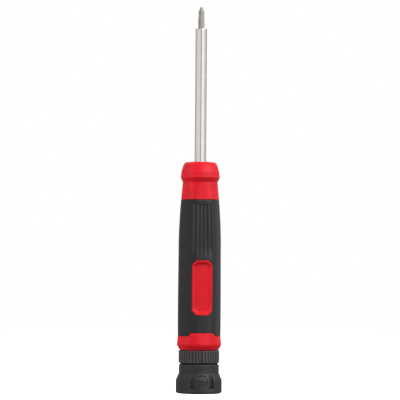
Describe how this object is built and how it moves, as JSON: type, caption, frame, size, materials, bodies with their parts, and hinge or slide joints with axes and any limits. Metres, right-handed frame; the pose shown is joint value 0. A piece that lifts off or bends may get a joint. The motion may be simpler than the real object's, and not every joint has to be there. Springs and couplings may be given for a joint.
{
  "type": "multi-bit screwdriver",
  "caption": "Slim multi-bit screwdriver with a two-colour soft grip, a spinning knurled ring and a locking end cap that draws a carrier of spare bits out of the handle.",
  "frame": {"origin": "centre of the end cap's foot, on the axis of the shaft", "axes": "+Z along the shaft towards the bit's tip, -Y out of the front with the recessed window, +X to the right"},
  "size_m": [0.0258, 0.0258, 0.22],
  "materials": {
    "red_plastic": "satin moulded",
    "grip_rubber": "matt soft-touch",
    "black_plastic": "satin moulded",
    "carrier_plastic": "matt moulded",
    "shaft_steel": "satin nickel plate",
    "bit_steel": "blasted tool steel",
    "spring_steel": "oiled",
    "magnet_nickel": "nickel plate",
    "bearing_plastic": "natural acetal",
    "seal_rubber": "matt"
  },
  "bodies": {
    "handle": {"handle_core": "red_plastic", "grip_sleeve": "grip_rubber", "shaft": "shaft_steel", "socket_magnet": "magnet_nickel", "ring_clip": "spring_steel"},
    "driver_bit": {"driver_bit": "bit_steel"},
    "spin_ring": {"ring_body": "black_plastic", "bayonet_plate": "spring_steel"},
    "bit_carrier": {"bit_carrier": "carrier_plastic", "thrust_washer": "bearing_plastic", "screw_washer": "spring_steel", "pivot_screw": "spring_steel", "stored_bit_1": "bit_steel", "stored_bit_2": "bit_steel", "stored_bit_3": "bit_steel", "stored_bit_4": "bit_steel", "stored_bit_5": "bit_steel", "stored_bit_6": "bit_steel", "stored_bit_7": "bit_steel", "stored_bit_8": "bit_steel", "stored_bit_9": "bit_steel", "stored_bit_10": "bit_steel", "stored_bit_11": "bit_steel", "stored_bit_12": "bit_steel"},
    "end_cap": {"end_cap": "black_plastic", "cap_seal": "seal_rubber", "cap_plug": "black_plastic"}
  },
  "joints": [
    {"name": "bit_pull", "type": "slide", "parent": "handle", "child": "driver_bit", "axis": [0, 0, 1], "range_m": [0, 0.02]},
    {"name": "ring_spin", "type": "hinge", "parent": "handle", "child": "spin_ring", "pos_m": [0, 0, 0.0209], "axis": [0, 0, 1], "continuous": true},
    {"name": "carrier_slide", "type": "slide", "parent": "handle", "child": "bit_carrier", "axis": [0, 0, -1], "range_m": [0, 0.07]},
    {"name": "cap_turn", "type": "hinge", "parent": "bit_carrier", "child": "end_cap", "pos_m": [0, 0, 0.0082], "axis": [0, 0, 1], "continuous": true}
  ]
}
